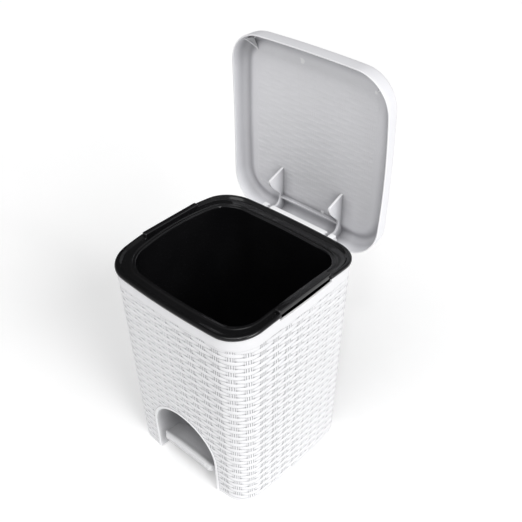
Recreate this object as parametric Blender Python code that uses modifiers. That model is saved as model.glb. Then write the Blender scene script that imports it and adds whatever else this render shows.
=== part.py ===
"""Pedal trash can: a square, woven-pattern plastic bin with a lift-out black
bucket, a lid on two gooseneck arms, and a foot pedal that raises the lid
through a steel push rod.

Frame: metres, +Z up, +Y to the rear (the hinge side), +X to the right as seen
from the front.  The origin is on the floor, in the middle of the object's
bounding box.  The lid stands open and the pedal is down, which is the rest
position of every joint.
"""
import math
import bmesh
import bpy
from mathutils import Matrix, Vector

MM = 0.001

# ---------------------------------------------------------------- dimensions
# All in millimetres, in the can's own frame: y = 0 is the middle of the body.
FRAME_Y = -19.375          # shifts the can so the open bounding box is centred

BODY_BASE_W, BODY_BASE_D = 220.0, 211.2
BODY_TOP_W, BODY_TOP_D = 235.0, 230.2
BODY_BASE_R, BODY_TOP_R = 32.0, 40.5
BODY_BASE_BOW, BODY_TOP_BOW = 3.4, 2.4
BODY_BOTTOM_Z, BODY_EDGE_Z = 0.8, 300.0
BODY_WALL = 2.2
COLLAR_H, COLLAR_PROUD = 15.0, 0.6
SIDE_ARCH = 9.5           # the left and right edges rise this much mid-side

ARCH_HALF_W, ARCH_SPRING_Z = 55.8, 54.2
ARCH_BORDER, ARCH_BORDER_PROUD = 4.5, 0.8
NICHE_BACK_Y = -52.0
NICHE_WALL = 2.0

RIM_W, RIM_D, RIM_R, RIM_BOW = 238.8, 234.5, 42.0, 2.4
BUCKET_TOP_W, BUCKET_TOP_D, BUCKET_TOP_R = 206.0, 192.4, 35.5
BUCKET_BASE_W, BUCKET_BASE_D, BUCKET_BASE_R = 190.0, 176.0, 29.0
BUCKET_BASE_Z, BUCKET_WALL = 56.0, 2.0
BUCKET_STEP_Y, BUCKET_STEP_Z = -47.0, 124.0
GRIP_HALF_L, GRIP_TOP_Z, GRIP_UNDER_Z = 46.5, 317.3, 309.6
GRIP_IN_X, GRIP_OUT_X = 108.5, 116.2

HINGE_Y, HINGE_Z = 123.0, 292.0
LID_W, LID_D, LID_R, LID_BOW = 244.2, 251.7, 48.5, 1.3
LID_CY = 6.05             # closed position of the lid's middle
LID_LIP_Z, LID_LIP_ARCH = 296.9, 5.7
LID_WALL = 2.0
LID_OPEN_DEG = 90.0
ARM_X, ARM_T, ARM_FOOT_T = 50.0, 3.0, 5.0
HINGE_BOSS_R, HINGE_PIN_R = 5.0, 1.8
LEVER_D = 5.3             # fore-and-aft offset of the lift pins from the axis
LIFT_TRAVEL = 2 * LEVER_D # rise of the push rod from shut to open

ROD_Y, ROD_R = 101.0, 2.0
PEDAL_Y, PEDAL_Z = 8.0, 22.0
AXLE_R = 2.5
TREAD_HALF_W = 47.5

PLATE_Z0, PLATE_Z1 = 3.0, 6.0
SCREW_XY = (91.5, 86.5)
FOOT_X, FOOT_FRONT_Y, FOOT_REAR_Y, FOOT_R, FOOT_H = 78.0, -66.0, 74.0, 9.0, 2.7

RING_SIDE, RING_CORNER = 3, 5       # segments on half a side, and on a corner

# ------------------------------------------------------------------- helpers
for ob in list(bpy.data.objects):
    bpy.data.objects.remove(ob, do_unlink=True)

PARTS = bpy.data.collections.new("pedal_trash_can")
TOOLS = bpy.data.collections.new("cutters")
bpy.context.scene.collection.children.link(PARTS)
bpy.context.scene.collection.children.link(TOOLS)


def material(name, color, rough, metallic=0.0):
    m = bpy.data.materials.new(name)
    m.use_nodes = True
    b = m.node_tree.nodes["Principled BSDF"]
    b.inputs["Base Color"].default_value = (*color, 1.0)
    b.inputs["Roughness"].default_value = rough
    b.inputs["Metallic"].default_value = metallic
    m.diffuse_color = (*color, 1.0)
    return m


def empty(name, x, y, z, parent=None, rot_x=0.0):
    e = bpy.data.objects.new(name, None)
    e.empty_display_size = 0.02
    e.location = (x * MM, y * MM, z * MM)
    e.rotation_euler = (math.radians(rot_x), 0, 0)
    e.parent = parent
    PARTS.objects.link(e)
    return e


def link(mesh, name, parent, mat=None, tool=False):
    ob = bpy.data.objects.new(name, mesh)
    ob.parent = parent
    if tool:
        ob.hide_render = True
        ob.display_type = 'WIRE'
        TOOLS.objects.link(ob)
    else:
        PARTS.objects.link(ob)
    if mat:
        mesh.materials.append(mat)
    return ob


def outline(w, d, r, bow_x, bow_y, cy=0.0, side=None, corner=None):
    """A rounded rectangle whose four sides bow outwards as shallow arcs."""
    ns = side or RING_SIDE
    nc = corner or RING_CORNER
    bow_x, bow_y = max(bow_x, 0.02), max(bow_y, 0.02)
    big_y = ((w - 2 * r) ** 2) / (8 * bow_y) + bow_y / 2
    big_x = ((d - 2 * r) ** 2) / (8 * bow_x) + bow_x / 2
    px, py = w / 2 - r - bow_x, d / 2 - r - bow_y
    for _ in range(12):            # the corner arc is tangent to both sides
        ax, ay = px, py - (d / 2 - big_y)
        bx, by = px - (w / 2 - big_x), py
        f1, f2 = math.hypot(ax, ay) - (big_y - r), math.hypot(bx, by) - (big_x - r)
        j11, j12 = ax / math.hypot(ax, ay), ay / math.hypot(ax, ay)
        j21, j22 = bx / math.hypot(bx, by), by / math.hypot(bx, by)
        det = j11 * j22 - j12 * j21
        px -= (f1 * j22 - f2 * j12) / det
        py -= (j11 * f2 - j21 * f1) / det
    t1 = math.atan2(py, px - (w / 2 - big_x))
    t2 = math.atan2(py - (d / 2 - big_y), px)
    q = []
    for i in range(ns + 1):
        t = t1 * i / ns
        q.append((w / 2 - big_x + big_x * math.cos(t), big_x * math.sin(t)))
    for i in range(1, nc):
        t = t1 + (t2 - t1) * i / nc
        q.append((px + r * math.cos(t), py + r * math.sin(t)))
    for i in range(ns + 1):
        t = t2 + (math.pi / 2 - t2) * i / ns
        q.append((big_y * math.cos(t), d / 2 - big_y + big_y * math.sin(t)))
    full = q + [(-x, y) for x, y in reversed(q[:-1])]
    full += [(-x, -y) for x, y in q[1:]]
    full += [(x, -y) for x, y in reversed(q[1:-1])]
    return [(x, y + cy) for x, y in full]


def ring(w, d, r, bow_x, bow_y, z, arch=0.0, cy=0.0, half=None):
    """An outline at height z whose left and right sides rise by arch."""
    half = half or d / 2
    return [(x, y, z + arch * max(0.0, 1 - ((y - cy) / half) ** 2))
            for x, y in outline(w, d, r, bow_x, bow_y, cy)]


def loft(name, rings, parent, mat=None, tool=False, caps=True):
    """A skin through sections with the same number of points."""
    bm = bmesh.new()
    rows = [[bm.verts.new((x * MM, y * MM, z * MM)) for x, y, z in rg] for rg in rings]
    n = len(rows[0])
    for a, b in zip(rows, rows[1:]):
        for i in range(n):
            j = (i + 1) % n
            bm.faces.new((a[i], a[j], b[j], b[i]))
    if caps:
        bm.faces.new(list(reversed(rows[0])))
        bm.faces.new(rows[-1])
    bmesh.ops.recalc_face_normals(bm, faces=bm.faces)
    me = bpy.data.meshes.new(name)
    bm.to_mesh(me)
    bm.free()
    return link(me, name, parent, mat, tool)


def box(name, lo, hi, parent, mat=None, tool=False, bevel=0.0, segs=2):
    bm = bmesh.new()
    bmesh.ops.create_cube(bm, size=1.0)
    s = [(b - a) * MM for a, b in zip(lo, hi)]
    c = [(b + a) / 2 * MM for a, b in zip(lo, hi)]
    bmesh.ops.scale(bm, vec=s, verts=bm.verts)
    me = bpy.data.meshes.new(name)
    bm.to_mesh(me)
    bm.free()
    ob = link(me, name, parent, mat, tool)
    ob.location = c
    if bevel:
        b = ob.modifiers.new("edges", 'BEVEL')
        b.width = bevel * MM
        b.segments = segs
        b.limit_method = 'ANGLE'
    return ob


def cylinder(name, r, length, centre, axis, parent, mat=None, tool=False, n=24, r2=None):
    bm = bmesh.new()
    bmesh.ops.create_cone(bm, cap_ends=True, cap_tris=False, segments=n,
                          radius1=r * MM, radius2=(r if r2 is None else r2) * MM,
                          depth=length * MM)
    if axis == 'X':
        bmesh.ops.rotate(bm, cent=(0, 0, 0), matrix=Matrix.Rotation(math.pi / 2, 3, 'Y'),
                         verts=bm.verts)
    me = bpy.data.meshes.new(name)
    bm.to_mesh(me)
    bm.free()
    ob = link(me, name, parent, mat, tool)
    ob.location = Vector(centre) * MM
    return ob


def plate_yz(name, pts, x0, x1, parent, mat=None, tool=False):
    """A flat outline in the Y-Z plane, extruded from x0 to x1."""
    cu = bpy.data.curves.new(name, 'CURVE')
    cu.dimensions = '2D'
    cu.fill_mode = 'BOTH'
    cu.extrude = (x1 - x0) / 2 * MM
    sp = cu.splines.new('POLY')
    sp.points.add(len(pts) - 1)
    for p, (y, z) in zip(sp.points, pts):
        p.co = (y * MM, z * MM, 0, 1)
    sp.use_cyclic_u = True
    tmp = bpy.data.objects.new(name + "_curve", cu)
    bpy.context.scene.collection.objects.link(tmp)
    # the curve's X, Y, Z become the can's Y, Z, X
    tmp.matrix_world = Matrix(((0, 0, 1, (x0 + x1) / 2 * MM), (1, 0, 0, 0),
                               (0, 1, 0, 0), (0, 0, 0, 1)))
    dg = bpy.context.evaluated_depsgraph_get()
    dg.update()
    me = bpy.data.meshes.new_from_object(tmp.evaluated_get(dg))
    me.transform(tmp.matrix_world)
    bpy.data.objects.remove(tmp, do_unlink=True)
    bm = bmesh.new()
    bm.from_mesh(me)
    bmesh.ops.remove_doubles(bm, verts=bm.verts, dist=0.00001)
    bmesh.ops.recalc_face_normals(bm, faces=bm.faces)
    bm.to_mesh(me)
    bm.free()
    me.name = name
    return link(me, name, parent, mat, tool)


def cut(ob, tool, op='DIFFERENCE'):
    m = ob.modifiers.new(op.lower(), 'BOOLEAN')
    m.operation = op
    m.solver = 'EXACT'
    m.object = tool
    return m


def join(ob, tool):
    return cut(ob, tool, 'UNION')


def smooth(ob, angle=40):
    ob.data.shade_smooth()
    ob.data.set_sharp_from_angle(angle=math.radians(angle))


def lerp(a, b, t):
    return a + (b - a) * t


def arc(cy, cz, r, a0, a1, n):
    return [(cy + r * math.cos(math.radians(lerp(a0, a1, i / n))),
             cz + r * math.sin(math.radians(lerp(a0, a1, i / n)))) for i in range(n + 1)]


# ----------------------------------------------------------------- materials
WHITE = material("white_plastic", (0.80, 0.80, 0.81), 0.42)
WHITE_LID = material("white_lid_plastic", (0.80, 0.80, 0.81), 0.40)
WHITE_PEDAL = material("white_pedal_plastic", (0.79, 0.79, 0.80), 0.42)
WHITE_BASE = material("white_base_plastic", (0.74, 0.74, 0.75), 0.50)
BLACK = material("black_bucket_plastic", (0.012, 0.012, 0.013), 0.30)
GREY_PLASTIC = material("grey_plastic", (0.30, 0.30, 0.31), 0.50)
STEEL = material("zinc_steel", (0.55, 0.55, 0.54), 0.35, 1.0)
RUBBER = material("black_rubber", (0.03, 0.03, 0.03), 0.85)

CAN = empty("can_frame", 0, FRAME_Y, 0)


# ---------------------------------------------------------------- outer body
def body_size(z):
    t = (z - BODY_BOTTOM_Z) / (BODY_EDGE_Z - BODY_BOTTOM_Z)
    return (lerp(BODY_BASE_W, BODY_TOP_W, t), lerp(BODY_BASE_D, BODY_TOP_D, t),
            lerp(BODY_BASE_R, BODY_TOP_R, t), lerp(BODY_BASE_BOW, BODY_TOP_BOW, t))


def body_ring(z, grow=0.0, arch=0.0):
    w, d, r, b = body_size(z)
    return ring(w + 2 * grow, d + 2 * grow, r + grow, b, b, z, arch)


def front_y(x, z):
    """Outer surface of the front wall."""
    w, d, r, b = body_size(z)
    big = ((w - 2 * r) ** 2) / (8 * b) + b / 2
    return -(d / 2 - big + math.sqrt(big * big - x * x))


def arch_section(half_w, spring, foot_z, y_of, n=14):
    """Arched outline: vertical sides below spring, a half circle above."""
    pts = [(-half_w, foot_z)]
    for i in range(n + 1):
        a = math.pi - math.pi * i / n
        pts.append((half_w * math.cos(a), spring + half_w * math.sin(a)))
    pts.append((half_w, foot_z))
    return [(x, y_of(x, z), z) for x, z in pts]


def make_outer_body():
    zc = BODY_EDGE_Z - COLLAR_H
    rings = [body_ring(BODY_BOTTOM_Z), body_ring(150.0), body_ring(zc - 1.2, 0, 0.55 * SIDE_ARCH),
             body_ring(zc, COLLAR_PROUD, 0.58 * SIDE_ARCH), body_ring(BODY_EDGE_Z, COLLAR_PROUD, SIDE_ARCH)]
    ob = loft("outer_body", rings, CAN, WHITE, caps=False)
    s = ob.modifiers.new("wall", 'SOLIDIFY')
    s.thickness = BODY_WALL * MM
    s.offset = -1.0
    s.use_even_offset = True

    # vaulted toe niche: an arched pocket, open at the front and at the floor
    back = NICHE_BACK_Y
    w = NICHE_WALL
    shell = loft("niche_shell", [
        arch_section(ARCH_HALF_W + w, ARCH_SPRING_Z, BODY_BOTTOM_Z, lambda x, z: front_y(x, z) + 1.0),
        arch_section(55.8, 50.5, BODY_BOTTOM_Z, lambda x, z: -66.0),
        arch_section(53.0, 48.5, BODY_BOTTOM_Z, lambda x, z: -55.0),
        arch_section(49.0, 46.0, BODY_BOTTOM_Z, lambda x, z: back + w)], CAN, tool=True)
    border = loft("niche_border", [
        arch_section(ARCH_HALF_W + ARCH_BORDER, ARCH_SPRING_Z, BODY_BOTTOM_Z,
                     lambda x, z: front_y(x, z) - ARCH_BORDER_PROUD),
        arch_section(ARCH_HALF_W + ARCH_BORDER, ARCH_SPRING_Z, BODY_BOTTOM_Z,
                     lambda x, z: front_y(x, z) + 1.2)], CAN, tool=True)
    hollow = loft("niche_hollow", [
        arch_section(ARCH_HALF_W + 0.9, ARCH_SPRING_Z + 0.4, -8.0, lambda x, z: -125.0),
        arch_section(53.8, 50.5, -8.0, lambda x, z: -68.0),
        arch_section(51.0, 48.5, -8.0, lambda x, z: -57.5),
        arch_section(46.0, 45.0, -8.0, lambda x, z: back)], CAN, tool=True)
    pedal_slot = box("pedal_slot", (-34, -60, -8), (34, -44, 54.5), CAN, tool=True)

    # hinge housing: the rear wall steps out round the hinge axis
    hy, hz = HINGE_Y, HINGE_Z
    outer = [(112.5, 258.0), (115.6, 262.0), (121.0, 276.0)] + arc(hy, hz, 7.4, -60, 44, 8) + \
            [(127.7, 299.6), (127.2, 302.4), (118.3, 302.4), (118.3, 300.0), (112.5, 299.6)]
    housing = plate_yz("hinge_housing", outer, -61, 61, CAN, tool=True)
    inner = [(104.0, 262.0), (113.4, 266.0), (119.0, 277.6)] + arc(hy, hz, 5.8, -56, 40, 8) + \
            [(125.5, 300.4), (117.0, 300.4), (117.0, 312.0), (104.0, 312.0)]
    room = plate_yz("hinge_room", inner, -59, 59, CAN, tool=True)
    lug = [(119.6, 282.0), (121.0, 279.0)] + arc(hy, hz, 6.6, -60, 40, 7) + [(126.3, 301.4), (119.6, 301.4)]

    join(ob, shell)
    join(ob, border)
    join(ob, housing)
    cut(ob, hollow)
    cut(ob, pedal_slot)
    cut(ob, room)
    for side in (-1, 1):
        tag = "right" if side > 0 else "left"
        for k, (xa, xb) in enumerate(((42.9, 46.7), (53.3, 57.1))):
            lo, hi = sorted((side * xa, side * xb))
            join(ob, plate_yz("hinge_lug_%s_%d" % (tag, k), lug, lo, hi, CAN, tool=True))
        lo, hi = sorted((side * 46.7, side * 53.3))
        slot = box("arm_slot_" + tag, (lo, 110.0, 279.5), (hi, 136.0, 312.0), CAN, tool=True)
        cut(ob, slot)
        lo, hi = sorted((side * 41.0, side * 58.2))
        cut(ob, cylinder("hinge_bore_" + tag, HINGE_PIN_R + 0.3, hi - lo,
                         ((lo + hi) / 2, hy, hz), 'X', CAN, tool=True))
        # finger notch in the top edge, below the bucket's grip
        lo, hi = sorted((side * 108.0, side * 125.0))
        cut(ob, box("finger_notch_" + tag, (lo, -GRIP_HALF_L - 0.5, 304.0),
                    (hi, GRIP_HALF_L + 0.5, 320.0), CAN, tool=True))
    # screw bosses in the four corners
    for sx in (-1, 1):
        for sy in (-1, 1):
            tag = ("rear" if sy > 0 else "front") + ("_right" if sx > 0 else "_left")
            x, y = sx * SCREW_XY[0], sy * SCREW_XY[1]
            join(ob, cylinder("boss_" + tag, 7.3, 14.4, (x, y, PLATE_Z1 + 0.3 + 7.2), 'Z', CAN, tool=True, n=16))
            cut(ob, cylinder("boss_bore_" + tag, 1.95, 14.0, (x, y, PLATE_Z1 - 2 + 7.0), 'Z', CAN, tool=True, n=12))
    smooth(ob)
    return ob


# -------------------------------------------------------------- inner bucket
def make_bucket():
    tw, td, tr = BUCKET_TOP_W, BUCKET_TOP_D, BUCKET_TOP_R
    bw, bd, br = BUCKET_BASE_W, BUCKET_BASE_D, BUCKET_BASE_R
    z0 = BUCKET_BASE_Z
    A = SIDE_ARCH

    def at(inset, z, arch=1.0):
        """A ring inset from the rim's outer edge; the inset is shared between
        the wide side ledge and the wider front and rear ledges."""
        k = inset / ((RIM_W - tw) / 2)
        d = RIM_D - 2 * inset - k * ((RIM_D - td) - (RIM_W - tw))
        r = lerp(RIM_R, tr, k)
        return ring(RIM_W - 2 * inset, d, r, RIM_BOW, RIM_BOW, z, arch * A)

    def wall(t, z, arch=0.0, inset=0.0):
        w, d, r = lerp(bw, tw, t), lerp(bd, td, t), lerp(br, tr, t)
        return ring(w - 2 * inset, d - 2 * inset, r - inset, RIM_BOW, RIM_BOW, z, arch * A)

    th = BUCKET_WALL
    rings = [
        wall(0, z0, 0, 1.6), wall(0, z0 + 1.6),                                 # outer floor edge
        wall(0.80, lerp(z0, 298, 0.80)),
        wall(0.995, 298.0, 1.0),                                                # outer wall
        at(13.5, 299.0), at(4.8, 299.4), at(4.5, 300.6), at(0.9, 300.6),        # under the ledge
        at(0.0, 302.6), at(0.9, 305.2), at(2.6, 306.1),                         # outer roll
        at(4.6, 305.2), at(6.0, 303.2),
        at(12.6, 302.3), at(13.9, 303.1), at(15.2, 302.2),                      # ledge and inner bead
        at(17.8, 301.6), wall(0.99, 298.6, 1.0, th),
        wall(0.80, lerp(z0, 298, 0.80), 0, th),
        wall(0.01, z0 + th + 1.6, 0, th), wall(0, z0 + th, 0, th + 1.6)]
    ob = loft("inner_bucket", rings, CAN, BLACK)

    # the front of the bucket steps back over the toe niche
    step = BUCKET_STEP_Z
    sy = BUCKET_STEP_Y
    cut(ob, box("bucket_step", (-120, -130, 40), (120, sy, step), CAN, tool=True))
    # closing wall and shelf of the step, made to the bucket's own outline
    def inside(z, inset):
        t = (z - z0) / (298 - z0)
        return wall(t, z, 0, inset)
    skin = loft("step_skin", [inside(z0, 0.4), inside(step + th, 0.4)], CAN, tool=True)
    keep = box("step_keep", (-118, -128, 50), (118, sy + th, step + th), CAN, tool=True)
    cut(skin, keep, 'INTERSECT')
    away = box("step_away", (-130, -140, 30), (130, sy, step), CAN, tool=True)
    cut(skin, away)
    join(ob, skin)

    for side in (-1, 1):
        tag = "right" if side > 0 else "left"
        lo, hi = sorted((side * 112.6, side * 126.0))
        cut(ob, box("rim_gap_" + tag, (lo, -GRIP_HALF_L + 0.7, 296.0), (hi, GRIP_HALF_L - 0.7, 330.0), CAN, tool=True))
        lo, hi = sorted((side * GRIP_IN_X, side * GRIP_OUT_X))
        grip = box("grip_" + tag, (lo, -GRIP_HALF_L, GRIP_UNDER_Z), (hi, GRIP_HALF_L, GRIP_TOP_Z), CAN,
                   tool=True, bevel=1.6, segs=3)
        join(ob, grip)
    smooth(ob)
    return ob


# ----------------------------------------------------------------------- lid
def make_lid():
    """Drawn shut, round the hinge axis; its parent empty swings it open."""
    def rg(inset, z, arch=0.0):
        pts = ring(LID_W - 2 * inset, LID_D - 2 * inset, max(LID_R - inset, 20), LID_BOW, LID_BOW,
                   z, arch, cy=LID_CY, half=LID_D / 2)
        return [(x, y - HINGE_Y, zz - HINGE_Z) for x, y, zz in pts]

    def rel(pts):
        return [(y - HINGE_Y, z - HINGE_Z) for y, z in pts]

    A = LID_LIP_ARCH
    rings = [
        rg(70, 322.5), rg(23.0, 322.5), rg(20.5, 323.0), rg(17.6, 324.5), rg(14.0, 324.9),
        rg(9.5, 324.4), rg(5.8, 323.0), rg(2.8, 320.4), rg(1.6, 318.6), rg(0.4, 313.0),
        rg(0.0, LID_LIP_Z + 0.8, A), rg(0.6, LID_LIP_Z, A), rg(1.9, LID_LIP_Z, A),
        rg(2.2, 313.0), rg(3.2, 318.6), rg(6.0, 321.5), rg(9.0, 322.3),
        rg(12.0, 321.7), rg(16.5, 319.9), rg(21.5, 319.0), rg(70, 319.0)]
    ob = loft("lid", rings, LID, WHITE_LID)

    # the two gooseneck arms: a fin on the underside, a neck over the bucket's
    # rim, and a foot with the hinge boss and the forked lift lever
    fin = [(63.4, 320.4), (64.4, 318.8), (73.4, 294.6)] + arc(77.2, 295.8, 4.0, 198, 300, 6) + \
          [(101.8, 312.0), (107.0, 312.8), (113.0, 312.3), (116.6, 310.6), (118.5, 307.0), (118.7, 299.0),
           (118.9, 292.0), (127.4, 292.0), (127.8, 297.0), (128.6, 298.4), (130.6, 300.0), (130.4, 308.0),
           (130.2, 313.0), (129.6, 316.5), (128.6, 319.2), (127.0, 321.2), (124.5, 322.5), (121.0, 323.0),
           (116.0, 322.4), (111.0, 320.4)]
    fork_out = 8.8
    u = (-math.sqrt(0.5), -math.sqrt(0.5))          # lever direction when shut
    v = (math.sqrt(0.5), -math.sqrt(0.5))
    hw, sw = 3.65, 2.05

    def fp(a, b):
        return (HINGE_Y + a * u[0] + b * v[0], HINGE_Z + a * u[1] + b * v[1])
    foot = [fp(0, -hw), fp(fork_out, -hw), fp(fork_out, -sw), fp(3.9, -sw), fp(3.9, sw),
            fp(fork_out, sw), fp(fork_out, hw), fp(0, hw)]
    for side in (-1, 1):
        tag = "right" if side > 0 else "left"
        x = side * ARM_X
        join(ob, plate_yz("fin_" + tag, rel(fin), x - ARM_T / 2, x + ARM_T / 2, LID, tool=True))
        boss = cylinder("boss_lid_" + tag, HINGE_BOSS_R, ARM_FOOT_T, (x, 0, 0), 'X', LID, tool=True)
        join(ob, boss)
        join(ob, plate_yz("fork_" + tag, rel(foot), x - ARM_FOOT_T / 2, x + ARM_FOOT_T / 2, LID, tool=True))
        # the open slot of the fork runs in as far as the boss's wall
        slot = [fp(3.85, -sw), fp(14.0, -sw), fp(14.0, sw), fp(3.85, sw)]
        cut(ob, plate_yz("fork_slot_" + tag, rel(slot), x - 6.0, x + 6.0, LID, tool=True))
        cut(ob, cylinder("bore_lid_" + tag, HINGE_PIN_R + 0.35, ARM_FOOT_T + 4, (x, 0, 0), 'X', LID, tool=True))
    # rib between the arms
    rib = box("arm_rib", (-ARM_X, 107.2 - HINGE_Y, 313.2 - HINGE_Z), (ARM_X, 109.0 - HINGE_Y, 320.4 - HINGE_Z),
              LID, tool=True)
    join(ob, rib)
    # diagonal gussets in the two front corners, from the skirt towards the middle
    gusset = [(25.0, 318.7), (30.0, 316.9), (35.0, 314.6), (39.5, 311.7), (43.0, 309.1), (44.3, 308.0),
              (45.0, 308.0), (44.9, 312.0), (44.3, 316.0), (43.9, 318.0), (43.2, 319.2), (42.2, 320.5),
              (40.8, 321.8), (38.9, 322.7), (37.0, 323.0), (32.5, 322.4), (26.0, 320.4)]
    for side in (-1, 1):
        tag = "right" if side > 0 else "left"
        g = plate_yz("gusset_" + tag, [(s, z - HINGE_Z) for s, z in gusset], -0.8, 0.8, LID, tool=True)
        g.location = Vector((side * (LID_W / 2 - LID_R), LID_CY - LID_D / 2 + LID_R - HINGE_Y, 0)) * MM
        g.rotation_euler = (0, 0, math.radians(225 if side > 0 else 135))
        join(ob, g)
    smooth(ob)
    return ob


# --------------------------------------------------------------------- pedal
def make_pedal():
    """Drawn about its axle, with the tread down."""
    def rel(pts):
        return [(y - PEDAL_Y, z - PEDAL_Z) for y, z in pts]
    # tread: a crowned plate with a thick front roll and a skirt all round
    outer = [(-104.6, 31.6), (-105.0, 32.4), (-105.0, 38.1), (-104.4, 40.2), (-102.8, 41.9), (-100.4, 42.5),
             (-97.0, 41.6), (-94.0, 41.0), (-88.0, 40.6), (-80.0, 40.2), (-72.6, 39.7), (-71.3, 38.4), (-71.2, 31.6)]
    inner = [(-102.0, 20.0), (-102.0, 38.0), (-101.0, 39.2), (-99.6, 39.4), (-95.0, 37.9), (-88.0, 37.4),
             (-75.0, 36.9), (-74.2, 36.2), (-74.2, 20.0)]

    def crowned(x, section):
        s = (abs(x) / TREAD_HALF_W) ** 2.5
        pts = []
        for y, z in section:
            back = min(max((y + 101.0) / 13.0, 0.0), 1.0)
            back = back * back * (3 - 2 * back)
            pts.append((x, y - PEDAL_Y, z - (3.0 + 3.0 * back) * s - PEDAL_Z))
        return pts
    xs = (-48.0, -44.5, -41, -36, -29, -20, -8, 8, 20, 29, 36, 41, 44.5, 48.0)
    ob = loft("foot_pedal", [crowned(x, outer) for x in xs], PEDAL, WHITE_PEDAL)
    pocket = loft("tread_pocket", [crowned(x, inner) for x in xs], PEDAL, tool=True)
    # the plan has rounded corners, outside and in
    for grow, ob_ in ((0.0, ob), (-3.0, pocket)):
        pts = outline(2 * (TREAD_HALF_W + grow), 34.4 + 2 * grow, 9.0 + grow, 0.3, 0.4, cy=-88.0 - PEDAL_Y, side=3, corner=6)
        plan = loft("tread_plan", [[(x, y, z - PEDAL_Z) for x, y in pts] for z in (10.0, 60.0)], PEDAL, tool=True)
        cut(ob_, plan, 'INTERSECT')
    cut(ob, pocket)
    for side in (-1, 1):
        tag = "right" if side > 0 else "left"
        arm = [(-101.4, 32.5), (-101.4, 37.0), (-74.0, 36.8), (-69.0, 29.5), (-46.0, 28.5), (-8.0, 27.0), (8.0, 27.5),
               (8.0, 17.0), (-2.0, 15.6), (-64.0, 22.0), (-74.0, 30.0)]
        lo, hi = sorted((side * 24.0, side * 28.0))
        join(ob, plate_yz("pedal_arm_" + tag, rel(arm), lo, hi, PEDAL, tool=True))
    join(ob, cylinder("pedal_hub", 6.0, 62.0, (0, 0, 0), 'X', PEDAL, tool=True))
    tail = [(10.0, 17.0), (10.0, 26.0), (30.0, 29.0), (92.0, 30.2), (103.2, 30.2), (103.2, 26.2), (92.0, 25.2),
            (30.0, 17.4)]
    join(ob, plate_yz("pedal_tail", rel(tail), -8.0, 8.0, PEDAL, tool=True))
    cut(ob, cylinder("pedal_bore", AXLE_R + 0.35, 80.0, (0, 0, 0), 'X', PEDAL, tool=True))
    # a fork at the rear end straddles the push rod
    cut(ob, box("rod_fork", (-3.2, ROD_Y - 3.4 - PEDAL_Y, -8.0), (3.2, ROD_Y + 12.0 - PEDAL_Y, 20.0), PEDAL, tool=True))
    smooth(ob, 30)
    return ob


# ---------------------------------------------------------------- base plate
def make_base_plate():
    w, d, r, b = body_size(4.0)
    g = BODY_WALL + 0.6
    pts = outline(w - 2 * g, d - 2 * g, r - g, b, b)
    ob = loft("base_plate", [[(x, y, z) for x, y in pts] for z in (PLATE_Z0, PLATE_Z1)], CAN, WHITE_BASE)
    cut(ob, box("plate_niche", (-60.0, -130, -5), (60.0, -48.6, 20), CAN, tool=True))
    for side in (-1, 1):
        tag = "right" if side > 0 else "left"
        lo, hi = sorted((side * 34.0, side * 39.0))
        join(ob, plate_yz("axle_bracket_" + tag,
                          [(PEDAL_Y - 11, 5.0), (PEDAL_Y - 6.5, 20.0)] +
                          arc(PEDAL_Y, PEDAL_Z, 6.5, 180, 0, 8) + [(PEDAL_Y + 6.5, 20.0), (PEDAL_Y + 11, 5.0)],
                          lo, hi, CAN, tool=True))
    cut(ob, cylinder("axle_bore", AXLE_R + 0.3, 90.0, (0, PEDAL_Y, PEDAL_Z), 'X', CAN, tool=True))
    # stiffening ribs on the upper face
    for k, x in enumerate((-66.0, 66.0)):
        join(ob, box("plate_rib_%d" % k, (x - 1, -80, 5.4), (x + 1, 88, 11.0), CAN, tool=True))
    for sx in (-1, 1):
        for sy in (-1, 1):
            tag = ("rear" if sy > 0 else "front") + ("_right" if sx > 0 else "_left")
            cut(ob, cylinder("plate_hole_" + tag, 2.1, 12.0, (sx * SCREW_XY[0], sy * SCREW_XY[1], 4.5), 'Z',
                             CAN, tool=True, n=12))
    return ob


make_outer_body()
make_base_plate()
make_bucket()

LID = empty("lid_hinge_axis", 0, HINGE_Y, HINGE_Z, CAN, -LID_OPEN_DEG)
make_lid()

PEDAL = empty("pedal_axis", 0, PEDAL_Y, PEDAL_Z, CAN)
make_pedal()

# ------------------------------------------------------------ lift mechanism
LIFT = empty("lift_axis", 0, ROD_Y, 0, CAN)
pin_y, pin_z = HINGE_Y - LEVER_D, HINGE_Z + LEVER_D      # lift pins, lid open


def rod_profile(name, pts, parent, mat, n=20):
    """A turned piece on the Z axis; the profile runs down its outer side."""
    me = bpy.data.meshes.new(name)
    bm = bmesh.new()
    vs = [bm.verts.new((r * MM, 0, z * MM)) for r, z in pts]
    for a, b in zip(vs, vs[1:]):
        bm.edges.new((a, b))
    if pts[0][0] > 0:
        bm.edges.new((vs[-1], vs[0]))
    bm.to_mesh(me)
    bm.free()
    ob = link(me, name, parent, mat)
    m = ob.modifiers.new("turn", 'SCREW')
    m.axis = 'Z'
    m.angle = math.tau
    m.steps = n
    m.render_steps = n
    m.use_merge_vertices = True
    m.merge_threshold = 0.00001
    m.use_smooth_shade = True
    return ob


rod_profile("push_rod", [(0, 292.6), (1.5, 292.6), (ROD_R, 292.0), (ROD_R, 20.5), (1.4, 19.8), (0, 19.8)], LIFT, STEEL, 16)
collar = box("rod_collar", (-6.5, -4.6, 30.8), (6.5, 2.7, 35.6), LIFT, GREY_PLASTIC, bevel=0.6, segs=1)
cut(collar, cylinder("collar_bore", ROD_R + 0.3, 12.0, (0, 0, 33.0), 'Z', LIFT, tool=True, n=20))

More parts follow.
